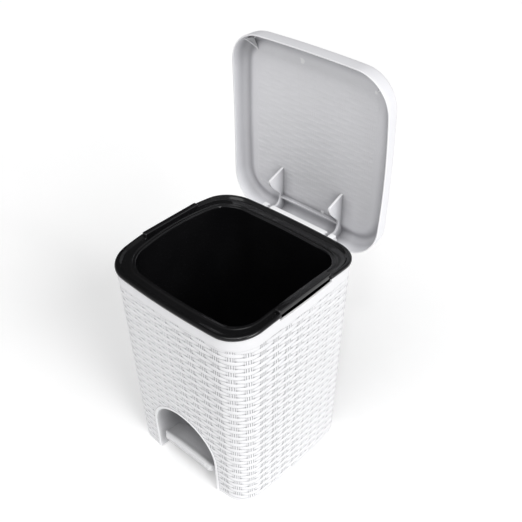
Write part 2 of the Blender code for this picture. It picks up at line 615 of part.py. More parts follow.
yoke = box("lift_yoke", (-46.2, pin_y - 1.5 - ROD_Y, pin_z - 2.0), (46.2, pin_y + 1.5 - ROD_Y, pin_z + 2.0), LIFT,
           GREY_PLASTIC)
join(yoke, box("yoke_bridge", (-5, 1.5, 294.6), (5, pin_y + 1.0 - ROD_Y, 298.7), LIFT, tool=True, bevel=0.6, segs=1))
join(yoke, cylinder("yoke_socket", 4.0, 18.0, (0, 0, 288.6), 'Z', LIFT, tool=True))
for side in (-1, 1):
    tag = "right" if side > 0 else "left"
    join(yoke, cylinder("lift_pin_" + tag, 1.25, 7.4, (side * 49.3, pin_y - ROD_Y, pin_z), 'X', LIFT, tool=True, n=14))
cut(yoke, cylinder("socket_bore", ROD_R + 0.3, 16.0, (0, 0, 286.0), 'Z', LIFT, tool=True, n=20))
smooth(yoke, 30)

for name, z in (("rod_guide_upper", 240.0), ("rod_guide_lower", 100.0)):
    back = body_size(z - 4.0)[1] / 2 - BODY_WALL - 0.4
    g = box(name, (-8.0, ROD_Y - 3.6, z - 4.0), (8.0, back, z + 4.0), CAN, GREY_PLASTIC, bevel=0.8, segs=1)
    cut(g, cylinder(name + "_bore", ROD_R + 0.4, 20.0, (0, ROD_Y, z), 'Z', CAN, tool=True, n=20))

# ------------------------------------------------------- axle, pins, clips
cylinder("pedal_axle", AXLE_R, 86.0, (0, PEDAL_Y, PEDAL_Z), 'X', CAN, STEEL)
for side, tag in ((-1, "left"), (1, "right")):
    c = cylinder("axle_clip_" + tag, 5.0, 1.6, (side * 40.2, PEDAL_Y, PEDAL_Z), 'X', CAN, STEEL)
    cut(c, cylinder("clip_bore_" + tag, AXLE_R + 0.25, 6.0, (side * 40.2, PEDAL_Y, PEDAL_Z), 'X', CAN, tool=True))
    smooth(c, 30)
    p = cylinder("hinge_pin_" + tag, HINGE_PIN_R, 15.6, (side * 50.0, HINGE_Y, HINGE_Z), 'X', CAN, STEEL)
    join(p, cylinder("pin_head_" + tag, 2.7, 1.5, (side * 41.8, HINGE_Y, HINGE_Z), 'X', CAN, tool=True))
    smooth(p, 30)

# --------------------------------------------------------- feet and screws
for sx in (-1, 1):
    for sy, fy in ((-1, FOOT_FRONT_Y), (1, FOOT_REAR_Y)):
        tag = ("rear" if sy > 0 else "front") + ("_right" if sx > 0 else "_left")
        f = cylinder("foot_" + tag, FOOT_R, FOOT_H, (sx * FOOT_X, fy, FOOT_H / 2), 'Z', CAN, RUBBER, n=28,
                     r2=FOOT_R - 0.6)
        smooth(f, 30)
        s = cylinder("base_screw_" + tag, 3.8, 1.6, (sx * SCREW_XY[0], sy * SCREW_XY[1], 1.9), 'Z', CAN, STEEL,
                     n=20)
        join(s, cylinder("shank_" + tag, 1.6, 14.0, (sx * SCREW_XY[0], sy * SCREW_XY[1], 9.0), 'Z', CAN,
                         tool=True, n=12))
        smooth(s, 30)
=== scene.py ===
import math

import bmesh
import bpy
import numpy as np
from mathutils import Matrix, Vector


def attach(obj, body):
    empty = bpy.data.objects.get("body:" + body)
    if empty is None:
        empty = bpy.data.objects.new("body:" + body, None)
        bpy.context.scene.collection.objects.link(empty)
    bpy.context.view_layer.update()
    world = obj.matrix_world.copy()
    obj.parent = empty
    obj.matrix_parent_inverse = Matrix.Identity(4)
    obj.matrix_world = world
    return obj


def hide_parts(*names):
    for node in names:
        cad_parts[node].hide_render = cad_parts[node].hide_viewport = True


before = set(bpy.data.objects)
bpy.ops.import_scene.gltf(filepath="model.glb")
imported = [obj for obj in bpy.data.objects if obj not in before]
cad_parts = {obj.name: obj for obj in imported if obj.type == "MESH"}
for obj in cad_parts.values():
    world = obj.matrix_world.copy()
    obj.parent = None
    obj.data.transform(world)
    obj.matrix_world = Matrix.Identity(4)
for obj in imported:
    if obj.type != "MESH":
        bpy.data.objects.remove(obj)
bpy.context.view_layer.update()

# ------------------------------------------------------------------ dimensions
# Millimetres, in the can's own frame (y = 0 is the middle of the body).
MM = 0.001
FRAME_Y = -19.375

BASE_W, BASE_D, TOP_W, TOP_D = 220.0, 211.2, 235.0, 230.2
BASE_R, TOP_R, BASE_BOW, TOP_BOW = 32.0, 40.5, 3.4, 2.4
BOTTOM_Z, EDGE_Z, WALL = 0.8, 300.0, 2.2
COLLAR_Z, COLLAR_PROUD, SIDE_ARCH = 285.0, 0.6, 9.5

ARCH_W, SPRING_Z, BORDER, BORDER_PROUD, NICHE_Y = 55.8, 54.2, 4.5, 0.9, -52.0

RIM_W, RIM_D, RIM_R, RIM_BOW = 238.8, 234.5, 42.0, 2.4
BK_TW, BK_TD, BK_TR, BK_BW, BK_BD, BK_BR = 206.0, 192.4, 35.5, 190.0, 176.0, 29.0
BK_Z0, BK_WALL, STEP_Y, STEP_Z = 56.0, 2.0, -47.0, 124.0
GRIP_L, GRIP_TOP, GRIP_UNDER, GRIP_IN, GRIP_OUT = 46.5, 317.3, 309.6, 108.5, 116.2

HY, HZ = 123.0, 292.0
LID_W, LID_D, LID_R, LID_BOW, LID_CY, LIP_Z, LIP_ARCH = 244.2, 251.7, 48.5, 1.3, 6.05, 296.9, 5.7
ARM_X, ARM_T, FOOT_T, PIN_R, BOSS_R = 50.0, 3.0, 5.0, 1.8, 5.0

PY, PZ, AXLE_R, TREAD = 8.0, 22.0, 2.5, 47.5

WEAVE_COLS = 40            # upright stakes round the body
WEAVE_ROW = 6.075          # height of one horizontal strand
WEAVE_Z = 284.0            # middle of a strand that passes behind a stake


# --------------------------------------------------------------------- helpers
def lerp(a, b, t):
    return a + (b - a) * t


def sstep(x):
    x = np.clip(x, 0.0, 1.0)
    return x * x * (3 - 2 * x)


def to_world(co, lid=False):
    """Can-frame millimetres to row-frame metres; a lid is drawn shut and stands open."""
    co = np.asarray(co, float)
    if lid:
        co = np.stack([co[:, 0], HY + (co[:, 2] - HZ), HZ - (co[:, 1] - HY)], 1)
    return (co + np.array([0.0, FRAME_Y, 0.0])) * MM


def new_object(name, co, faces, mat=None, lid=False):
    me = bpy.data.meshes.new(name)
    me.from_pydata(to_world(co, lid), [], faces)
    me.update()
    ob = bpy.data.objects.new(name, me)
    bpy.context.scene.collection.objects.link(ob)
    if mat:
        me.materials.append(mat)
    return ob


def face_out(ob):
    bm = bmesh.new()
    bm.from_mesh(ob.data)
    bmesh.ops.recalc_face_normals(bm, faces=bm.faces)
    bm.to_mesh(ob.data)
    bm.free()
    return ob


def corner_outline(w, d, r, bow_x, bow_y, t):
    """Points of a rounded rectangle with bowed sides at the shares t of its length,
    measured from the middle of the front-right corner, towards the right side."""
    bow_x, bow_y = max(bow_x, 0.02), max(bow_y, 0.02)
    by_ = ((w - 2 * r) ** 2) / (8 * bow_y) + bow_y / 2
    bx_ = ((d - 2 * r) ** 2) / (8 * bow_x) + bow_x / 2
    px, py = w / 2 - r - bow_x, d / 2 - r - bow_y
    for _ in range(12):
        ax, ay = px, py - (d / 2 - by_)
        bx, by = px - (w / 2 - bx_), py
        ha, hb = math.hypot(ax, ay), math.hypot(bx, by)
        f1, f2 = ha - (by_ - r), hb - (bx_ - r)
        det = ax / ha * by / hb - ay / ha * bx / hb
        px -= (f1 * by / hb - f2 * ay / ha) / det
        py -= (ax / ha * f2 - bx / hb * f1) / det
    t1 = math.atan2(py, px - (w / 2 - bx_))
    t2 = math.atan2(py - (d / 2 - by_), px)
    a = np.linspace(0, t1, 40)
    side = np.stack([w / 2 - bx_ + bx_ * np.cos(a), bx_ * np.sin(a)], 1)
    a = np.linspace(t1, t2, 60)[1:]
    corner = np.stack([px + r * np.cos(a), py + r * np.sin(a)], 1)
    a = np.linspace(t2, math.pi / 2, 40)[1:]
    front = np.stack([by_ * np.cos(a), d / 2 - by_ + by_ * np.sin(a)], 1)
    q = np.concatenate([side, corner, front])            # x > 0, y > 0
    full = np.concatenate([q, (q * (-1, 1))[::-1][1:], (q * (-1, -1))[1:], (q * (1, -1))[::-1][1:-1]])
    k = np.argmax(full[:, 0] - full[:, 1])
    full = np.roll(full, -k, axis=0)
    full = np.concatenate([full, full[:1]])
    s = np.concatenate([[0], np.cumsum(np.hypot(*np.diff(full, axis=0).T))])
    s /= s[-1]
    return np.stack([np.interp(t, s, full[:, 0]), np.interp(t, s, full[:, 1])], 1)




def even_t(side=10, corner=12):
    """Shares that put most points in the four corners."""
    base = []
    for q in range(4):
        c = q / 4.0
        base += list(c - 0.125 + np.linspace(0.0, 0.06, side, endpoint=False))
        base += list(c - 0.065 + np.linspace(0.0, 0.13, corner * 2, endpoint=False))
        base += list(c + 0.065 + np.linspace(0.0, 0.06, side, endpoint=False))
    return np.array(sorted(x % 1.0 for x in base))


T_FINE = even_t(10, 14)


def ring(w, d, r, bx, by, z, arch=0.0, cy=0.0, half=None, t=None):
    p = corner_outline(w, d, r, bx, by, T_FINE if t is None else t)
    half = half or d / 2
    zz = z + arch * np.maximum(0.0, 1 - (p[:, 1] / half) ** 2)
    return np.stack([p[:, 0], p[:, 1] + cy, zz], 1)


def skin(name, rings, mat=None, lid=False, closed=False, caps=True):
    """A mesh through rings with the same number of points."""
    rings = [np.asarray(r, float) for r in rings]
    n, m = len(rings[0]), len(rings)
    co = np.concatenate(rings)
    i = np.arange(n)
    j = (i + 1) % n
    rows = [(k, k + 1) for k in range(m - 1)] + ([(m - 1, 0)] if closed else [])
    quads = np.concatenate([np.stack([a * n + i, a * n + j, b * n + j, b * n + i], 1) for a, b in rows])
    faces = quads.tolist()
    if caps and not closed:
        faces.append(list(range(n))[::-1])
        faces.append(list(range((m - 1) * n, m * n)))
    return face_out(new_object(name, co, faces, mat, lid))


def round_edges(ob, width, segs=3, angle=30):
    """Rounds a cutter's or rib's edges before it is joined."""
    bm = bmesh.new()
    bm.from_mesh(ob.data)
    edges = [e for e in bm.edges if len(e.link_faces) == 2 and e.calc_face_angle(0) > math.radians(angle)]
    bmesh.ops.bevel(bm, geom=edges, offset=width * MM, segments=segs, profile=0.5, affect='EDGES',
                    clamp_overlap=True)
    bm.to_mesh(ob.data)
    bm.free()
    return ob


def prism(name, pts, x0, x1, mat=None, lid=False, edge=0.0, segs=3):
    """A Y-Z outline extruded along X."""
    n = len(pts)
    co = [(x0, y, z) for y, z in pts] + [(x1, y, z) for y, z in pts]
    faces = [[i, (i + 1) % n, n + (i + 1) % n, n + i] for i in range(n)]
    faces += [list(range(n))[::-1], list(range(n, 2 * n))]
    ob = face_out(new_object(name, co, faces, mat, lid))
    return round_edges(ob, edge, segs) if edge else ob


def block(name, lo, hi, mat=None, lid=False, edge=0.0, segs=3):
    pts = [(lo[1], lo[2]), (hi[1], lo[2]), (hi[1], hi[2]), (lo[1], hi[2])]
    return prism(name, pts, lo[0], hi[0], mat, lid, edge, segs)


def rod(name, r, x0, x1, y, z, mat=None, lid=False, n=40, edge=0.0):
    a = np.linspace(0, math.tau, n, endpoint=False)
    return prism(name, [(y + r * math.cos(k), z + r * math.sin(k)) for k in a], x0, x1, mat, lid, edge)


def turned(name, profile, x, y, mat=None, n=40):
    """A closed profile of (radius, height) turned about a vertical axis."""
    a = np.linspace(0, math.tau, n, endpoint=False)
    rings = [np.stack([x + r * np.cos(a), y + r * np.sin(a), np.full(n, z)], 1) for r, z in profile]
    return skin(name, rings, mat)


def arc(cy, cz, r, a0, a1, n):
    return [(cy + r * math.cos(math.radians(lerp(a0, a1, i / n))),
             cz + r * math.sin(math.radians(lerp(a0, a1, i / n)))) for i in range(n + 1)]


def merged(name, obs):
    """Several separate tools as one mesh, so that one Boolean does them all."""
    bm = bmesh.new()
    for o in obs:
        bm.from_mesh(o.data)
        bpy.data.objects.remove(o, do_unlink=True)
    me = bpy.data.meshes.new(name)
    bm.to_mesh(me)
    bm.free()
    ob = bpy.data.objects.new(name, me)
    bpy.context.scene.collection.objects.link(ob)
    return ob


def build(ob, steps, angle=40, solver='MANIFOLD'):
    """Applies Booleans in order and removes their tools."""
    for op, tool in steps:
        m = ob.modifiers.new("step", 'BOOLEAN')
        m.operation = {'+': 'UNION', '-': 'DIFFERENCE', '&': 'INTERSECT'}[op]
        m.solver = solver
        m.object = tool
    bpy.context.view_layer.update()
    dg = bpy.context.evaluated_depsgraph_get()
    me = bpy.data.meshes.new_from_object(ob.evaluated_get(dg))
    mats = [m for m in ob.data.materials]
    ob.modifiers.clear()
    ob.data = me
    if mats:
        me.materials.clear()
        me.materials.append(mats[0])
        me.polygons.foreach_set("material_index", np.zeros(len(me.polygons), np.int32))
    for _, tool in steps:
        bpy.data.objects.remove(tool, do_unlink=True)
    return smooth(ob, angle)


def smooth(ob, angle=40):
    ob.data.shade_smooth()
    ob.data.set_sharp_from_angle(angle=math.radians(angle))
    return ob


# ------------------------------------------------------------------- materials
def nodes_of(name):
    m = bpy.data.materials.new(name)
    m.use_nodes = True
    nt = m.node_tree
    return m, nt, nt.nodes["Principled BSDF"]


def add(nt, kind, **inputs):
    n = nt.nodes.new(kind)
    for k, v in inputs.items():
        key = k.replace("_", " ")
        if key in n.inputs:
            n.inputs[key].default_value = v
        else:
            setattr(n, k, v)
    return n


def ramp(nt, fac, stops):
    r = nt.nodes.new("ShaderNodeValToRGB")
    while len(r.color_ramp.elements) < len(stops):
        r.color_ramp.elements.new(0.5)
    for e, (p, c) in zip(r.color_ramp.elements, stops):
        e.position = p
        e.color = (*c, 1) if len(c) == 3 else c
    nt.links.new(fac, r.inputs["Fac"])
    return r


def remap(nt, value, a, b, lo=0.0, hi=1.0):
    m = nt.nodes.new("ShaderNodeMapRange")
    m.inputs["From Min"].default_value = lo
    m.inputs["From Max"].default_value = hi
    m.inputs["To Min"].default_value = a
    m.inputs["To Max"].default_value = b
    nt.links.new(value, m.inputs["Value"])
    return m.outputs["Result"]


def mix_color(nt, fac, a, b, mode='MIX'):
    m = nt.nodes.new("ShaderNodeMix")
    m.data_type = 'RGBA'
    m.blend_type = mode

    def put(index, v):
        s = m.inputs[index]
        if hasattr(v, "is_output"):
            nt.links.new(v, s)
        else:
            s.default_value = v if not isinstance(v, tuple) or len(v) == 4 else (*v, 1)
    put(0, fac)
    put(6, a)
    put(7, b)
    return m.outputs[2]


def noise(nt, vec, scale, detail=4.0, rough=0.5):
    n = nt.nodes.new("ShaderNodeTexNoise")
    n.inputs["Scale"].default_value = scale
    n.inputs["Detail"].default_value = detail
    n.inputs["Roughness"].default_value = rough
    nt.links.new(vec, n.inputs["Vector"])
    return n.outputs["Fac"]


def bumped(nt, bsdf, heights):
    """Chains bump nodes: (height socket, strength, distance in metres)."""
    last = None
    for h, strength, dist in heights:
        b = nt.nodes.new("ShaderNodeBump")
        b.inputs["Strength"].default_value = strength
        b.inputs["Distance"].default_value = dist
        nt.links.new(h, b.inputs["Height"])
        if last:
            nt.links.new(last, b.inputs["Normal"])
        last = b.outputs["Normal"]
    nt.links.new(last, bsdf.inputs["Normal"])


def object_coords(nt, scale=(1, 1, 1)):
    tc = nt.nodes.new("ShaderNodeTexCoord")
    mp = nt.nodes.new("ShaderNodeMapping")
    mp.inputs["Scale"].default_value = scale
    nt.links.new(tc.outputs["Object"], mp.inputs["Vector"])
    return mp.outputs["Vector"]


def moulded_white(name, base, rough=0.42, crease_shade=0.10, grain=1.0, hollow_shade=0.35, reach=0.09, own=False, recess=False):
    """Satin polypropylene: fine moulded grain, faint flow clouds, painted shade in creases and hollows, painted
    highlight on convex edges.
    """
    m, nt, b = nodes_of(name)
    vec = object_coords(nt)
    cloud = noise(nt, vec, 9.0, 3.0, 0.55)
    mottle = noise(nt, vec, 160.0, 3.0, 0.6)
    grain_n = noise(nt, vec, 1500.0, 2.0, 0.6)
    lo = tuple(c * 0.972 for c in base)
    hi = tuple(min(1.0, c * 1.018) for c in base)
    col = ramp(nt, cloud, [(0.30, lo), (0.70, hi)]).outputs["Color"]
    col = mix_color(nt, remap(nt, mottle, 0.0, 0.16, 0.35, 0.75), col, tuple(c * 0.965 for c in base))
    geo = nt.nodes.new("ShaderNodeNewGeometry")
    # painted shade: colour darkened where the surface is occluded, over a short reach in the weave's grooves and
    # creases and over a longer reach in hollows
    for dist, amount, lo_, hi_ in ((0.0035, crease_shade, 0.25, 0.95), (reach, hollow_shade, 0.30, 0.95)):
        ao = nt.nodes.new("ShaderNodeAmbientOcclusion")
        ao.samples = 6
        ao.inputs["Distance"].default_value = dist
        ao.only_local = own and dist > 0.01
        painted_shade = remap(nt, ao.outputs["AO"], amount, 0.0, lo_, hi_)
        col = mix_color(nt, painted_shade, col, (base[0] * 0.30, base[1] * 0.30, base[2] * 0.31))
    if recess:                                              # painted shade inside the toe niche, darker further in towards its rear wall
        sep = nt.nodes.new("ShaderNodeSeparateXYZ")
        nt.links.new(vec, sep.inputs[0])
        niche_shade = ramp(nt, remap(nt, sep.outputs["Y"], 0.0, 1.0, -0.1238, -0.0695),   # ends in the niche's rear wall
                    [(0.0, (0, 0, 0)), (0.10, (0.42, 0.42, 0.42)), (0.715, (0.85, 0.85, 0.85)),
                     (0.980, (0.85, 0.85, 0.85)), (0.985, (0, 0, 0))]).outputs["Color"]
        for out, limit in (("X", 0.058), ("Z", 0.114)):
            near = nt.nodes.new("ShaderNodeMath")
            near.operation = 'ABSOLUTE'
            nt.links.new(sep.outputs[out], near.inputs[0])
            within = nt.nodes.new("ShaderNodeMath")
            within.operation = 'LESS_THAN'
            nt.links.new(near.outputs[0], within.inputs[0])
            within.inputs[1].default_value = limit
            both = nt.nodes.new("ShaderNodeMath")
            both.operation = 'MULTIPLY'
            nt.links.new(niche_shade, both.inputs[0])
            nt.links.new(within.outputs[0], both.inputs[1])
            niche_shade = both.outputs[0]
        col = mix_color(nt, niche_shade, col, (base[0] * 0.30, base[1] * 0.30, base[2] * 0.31))
    # painted highlight: convex edges lightened towards near white
    edge_highlight = remap(nt, geo.outputs["Pointiness"], 0.0, 0.85, 0.512, 0.56)
    col = mix_color(nt, edge_highlight, col, (0.95, 0.95, 0.96))
    nt.links.new(col, b.inputs["Base Color"])
    wear = remap(nt, geo.outputs["Pointiness"], 0.0, -0.07, 0.52, 0.60)
    r = remap(nt, cloud, rough - 0.04, rough + 0.05, 0.3, 0.7)
    s = nt.nodes.new("ShaderNodeMath")
    s.operation = 'ADD'
    nt.links.new(r, s.inputs[0])
    nt.links.new(wear, s.inputs[1])
    nt.links.new(s.outputs[0], b.inputs["Roughness"])
    b.inputs["Specular IOR Level"].default_value = 0.45
    bumped(nt, b, [(grain_n, 0.10 * grain, 0.00012), (mottle, 0.05, 0.0004)])
    return m


def moulded_black(name):
    """Semi-gloss black polypropylene with faint flow marks and a painted highlight along its edges."""
    m, nt, b = nodes_of(name)
    vec = object_coords(nt)
    cloud = noise(nt, vec, 14.0, 4.0, 0.55)
    fine = noise(nt, vec, 900.0, 3.0, 0.6)
    scuff = noise(nt, object_coords(nt, (60, 60, 900)), 1.0, 5.0, 0.65)
    geo = nt.nodes.new("ShaderNodeNewGeometry")
    # painted highlight: convex edges and beads of the rim lightened to dark grey
    edge = remap(nt, geo.outputs["Pointiness"], 0.0, 0.80, 0.525, 0.60)
    col = ramp(nt, cloud, [(0.3, (0.0035, 0.0035, 0.0040)), (0.7, (0.0055, 0.0055, 0.0060))]).outputs["Color"]
    col = mix_color(nt, edge, col, (0.060, 0.060, 0.064))
    nt.links.new(col, b.inputs["Base Color"])
    r = remap(nt, cloud, 0.11, 0.16, 0.3, 0.7)
    s = nt.nodes.new("ShaderNodeMath")
    s.operation = 'ADD'
    nt.links.new(r, s.inputs[0])
    nt.links.new(remap(nt, scuff, 0.0, 0.07, 0.5, 0.8), s.inputs[1])
    nt.links.new(s.outputs[0], b.inputs["Roughness"])
    b.inputs["Specular IOR Level"].default_value = 0.35
    bumped(nt, b, [(fine, 0.05, 0.00008), (cloud, 0.05, 0.001)])
    return m


def grey_moulded(name, base=(0.30, 0.30, 0.31)):
    m, nt, b = nodes_of(name)
    vec = object_coords(nt)
    cloud = noise(nt, vec, 60.0, 3.0, 0.5)
    fine = noise(nt, vec, 1600.0, 2.0, 0.6)
    col = ramp(nt, cloud, [(0.3, tuple(c * 0.9 for c in base)), (0.7, tuple(c * 1.08 for c in base))]).outputs["Color"]
    geo = nt.nodes.new("ShaderNodeNewGeometry")
    col = mix_color(nt, remap(nt, geo.outputs["Pointiness"], 0.0, 0.35, 0.53, 0.62), col,
                    tuple(min(1, c * 1.5) for c in base))
    nt.links.new(col, b.inputs["Base Color"])
    nt.links.new(remap(nt, cloud, 0.44, 0.56, 0.3, 0.7), b.inputs["Roughness"])
    bumped(nt, b, [(fine, 0.15, 0.00012)])
    return m


def zinc_steel(name, along='Z'):
    """Zinc-plated steel: drawn lines along the wire, spangle and a slight yellow cast."""
    m, nt, b = nodes_of(name)
    stretch = {'Z': (1400, 1400, 25), 'X': (25, 1400, 1400)}[along]
    drawn = noise(nt, object_coords(nt, stretch), 1.0, 3.0, 0.6)
    cloud = noise(nt, object_coords(nt), 180.0, 3.0, 0.55)
    col = ramp(nt, cloud, [(0.30, (0.50, 0.49, 0.46)), (0.55, (0.60, 0.60, 0.59)), (0.75, (0.66, 0.65, 0.61))])
    geo = nt.nodes.new("ShaderNodeNewGeometry")
    c = mix_color(nt, remap(nt, geo.outputs["Pointiness"], 0.0, 0.5, 0.53, 0.62), col.outputs["Color"],
                  (0.75, 0.75, 0.74))
    nt.links.new(c, b.inputs["Base Color"])
    b.inputs["Metallic"].default_value = 1.0
    nt.links.new(remap(nt, drawn, 0.24, 0.46, 0.3, 0.7), b.inputs["Roughness"])
    bumped(nt, b, [(drawn, 0.12, 0.00008), (cloud, 0.06, 0.0002)])
    return m


def soft_rubber(name):
    m, nt, b = nodes_of(name)
    vec = object_coords(nt)
    cloud = noise(nt, vec, 120.0, 4.0, 0.6)
    fine = noise(nt, vec, 2200.0, 2.0, 0.6)
    col = ramp(nt, cloud, [(0.3, (0.020, 0.020, 0.020)), (0.7, (0.042, 0.041, 0.040))]).outputs["Color"]
    geo = nt.nodes.new("ShaderNodeNewGeometry")
    col = mix_color(nt, remap(nt, geo.outputs["Pointiness"], 0.0, 0.5, 0.53, 0.62), col, (0.10, 0.098, 0.095))
    nt.links.new(col, b.inputs["Base Color"])
    nt.links.new(remap(nt, cloud, 0.74, 0.92, 0.3, 0.7), b.inputs["Roughness"])
    bumped(nt, b, [(fine, 0.25, 0.00015)])
    return m


BODY_MAT = moulded_white("white_body_pp", (0.79, 0.79, 0.805), 0.42, 0.52, 1.0, 1.0, 0.17, True, True)
LID_MAT = moulded_white("white_lid_pp", (0.80, 0.80, 0.825), 0.40, 0.30, 1.0, 1.0, 0.020, True)
PEDAL_MAT = moulded_white("white_pedal_pp", (0.79, 0.79, 0.80), 0.40, 0.12, 1.0, 0.68)
BASE_MAT = moulded_white("white_base_pp", (0.74, 0.74, 0.75), 0.50, 0.20, 1.6)
BLACK_MAT = moulded_black("black_bucket_pp")
GREY_MAT = grey_moulded("grey_acetal")
STEEL_X, STEEL_Z = zinc_steel("zinc_steel_cross", 'X'), zinc_steel("zinc_steel_upright", 'Z')
RUBBER_MAT = soft_rubber("foot_rubber")


# ----------------------------------------------------------------------- weave
def weave(u, z, cross):
    """Basket-weave relief in mm. u counts stakes, z is the height in mm and cross
    the stakes' pitch in mm. Strands pass over and behind the stakes in turn."""
    c = np.round(u)
    x = (u - c) * cross
    r = (z - (WEAVE_Z - WEAVE_ROW / 2)) / WEAVE_ROW + 1e-6
    k = np.floor(r)
    f = r - k

    def over(k, f):
        a = 0.5 - 0.5 * np.cos(math.pi * (u + k))           # 0 behind a stake, 1 over one
        p = np.sqrt(np.clip(1 - np.abs(2 * f - 1) ** 2.2, 0, 1))
        return -1.35 + 1.80 * np.clip(a, 0, 1) ** 0.44 - 0.80 * (1 - p)
    strand = over(k, f)
    strand = np.where(f < 0.02, np.minimum(strand, over(k - 1, 1.0)), strand)
    groove = np.minimum(np.abs(x), np.abs(np.abs(x) - 3.1))
    reed = -0.05 - 0.80 * np.clip(1 - groove / 0.75, 0, 1) - 0.25 * (1 - np.cos(math.pi * (f - 0.5)))
    reed = np.where(np.abs(x) < 4.7, reed, -9.0)
    return np.maximum(strand, reed)


STAKE_MM = np.array([0, 0.75, 1.55, 2.35, 3.1, 3.85, 4.6, 4.9, 6.0, 7.8, 10.3])
STAKE_T = np.concatenate([-STAKE_MM[1:-1][::-1], STAKE_MM]) / 21.0       # shares of a pitch


def weave_t():
    t = []
    for j in range(WEAVE_COLS):
        t += [(j + 0.5 + s) / WEAVE_COLS for s in STAKE_T]
    return np.array(sorted(x % 1.0 for x in t))


def body_size(z):
    t = (z - BOTTOM_Z) / (EDGE_Z - BOTTOM_Z)
    return lerp(BASE_W, TOP_W, t), lerp(BASE_D, TOP_D, t), lerp(BASE_R, TOP_R, t), lerp(BASE_BOW, TOP_BOW, t)


def front_y(x, z):
    w, d, r, b = body_size(z)
    big = ((w - 2 * r) ** 2) / (8 * b) + b / 2
    return -(d / 2 - big + math.sqrt(big * big - x * x))


def arch_section(half_w, spring, foot_z, y_of, n=56):
    pts = [(-half_w, foot_z)]
    pts += [(-half_w, lerp(foot_z, spring, k / 6.0)) for k in range(1, 6)]
    for i in range(n + 1):
        a = math.pi - math.pi * i / n
        pts.append((half_w * math.cos(a), spring + half_w * math.sin(a)))
    pts += [(half_w, lerp(spring, foot_z, k / 6.0)) for k in range(1, 6)]
    pts.append((half_w, foot_z))
    return np.array([(x, y_of(x, z), z) for x, z in pts])


